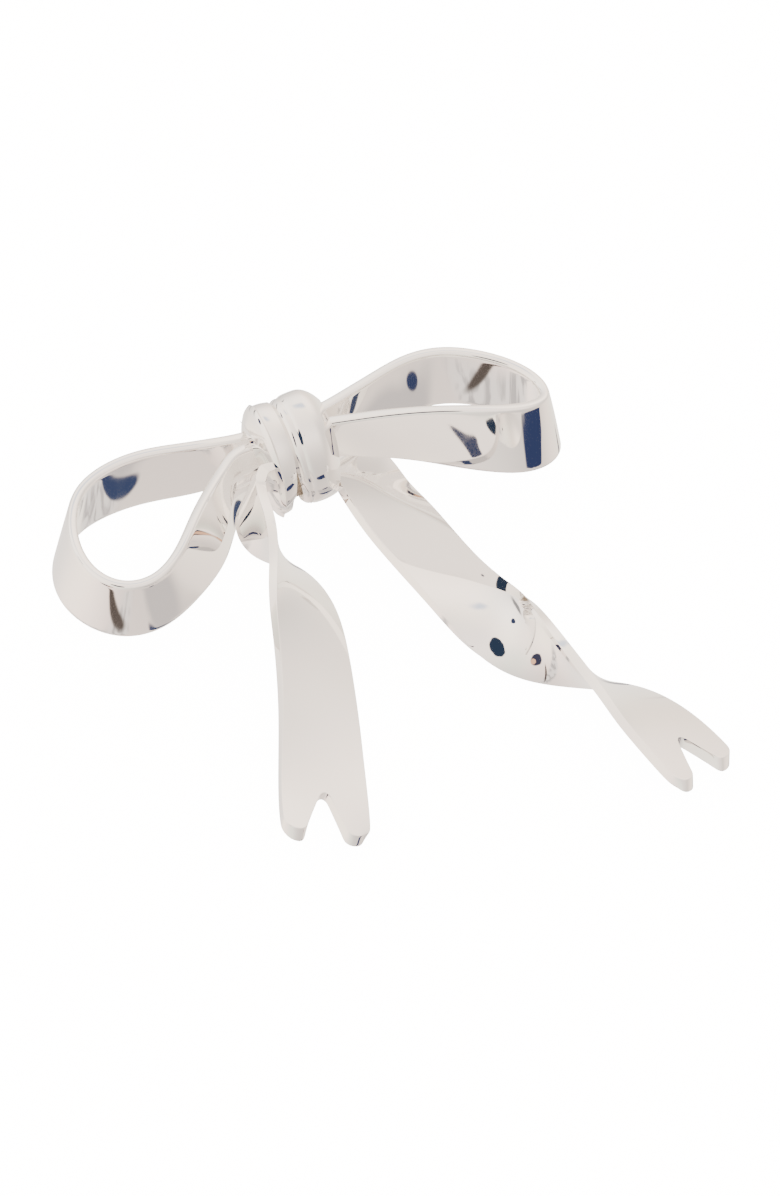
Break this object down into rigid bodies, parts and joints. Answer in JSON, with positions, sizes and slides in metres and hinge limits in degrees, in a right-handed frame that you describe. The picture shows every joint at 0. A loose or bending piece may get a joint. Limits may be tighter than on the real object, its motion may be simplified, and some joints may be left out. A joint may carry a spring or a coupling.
{
  "type": "ribbon-bow brooch",
  "caption": "Polished metal bow-shaped brooch with looped ribbons, twisted swallow-tail ends, a hinged pin and a turning safety catch.",
  "frame": {"origin": "middle of the lower foot of the pin's hinge, in the plane that both feet stand on; the knot's axis is 6.9 mm along +X from it and 1.5 mm below it", "axes": "+X along the bow to the wearer's left, +Y up on the garment, +Z away from the garment"},
  "size_m": [0.0596, 0.0608, 0.0166],
  "materials": {
    "polished_silver": "mirror polish, rhodium-like silver",
    "fitting_silver": "bright polish with fine handling marks",
    "core_silver": "unpolished, darkened inside the knot",
    "pin_steel": "hard drawn wire, fine lengthwise polish"
  },
  "bodies": {
    "bow": {"left_loop": "polished_silver", "right_loop": "polished_silver", "left_tail": "polished_silver", "right_tail": "polished_silver", "knot_narrow_pleat": "polished_silver", "knot_wide_pleat": "polished_silver", "knot_core": "core_silver", "back_bar": "fitting_silver", "hinge_block": "fitting_silver", "hinge_rivet": "pin_steel", "catch_body": "fitting_silver"},
    "pin": {"pin_stem": "pin_steel"},
    "sleeve": {"catch_sleeve": "fitting_silver"}
  },
  "joints": [
    {"name": "pin_hinge", "type": "hinge", "parent": "bow", "child": "pin", "pos_m": [0, 0.00088, 0.0021], "axis": [0, 1, 0], "range_deg": [0, 100]},
    {"name": "sleeve_turn", "type": "hinge", "parent": "bow", "child": "sleeve", "pos_m": [0.0225, 0.00088, 0.0021], "axis": [-1, 0, 0], "range_deg": [0, 100]}
  ]
}
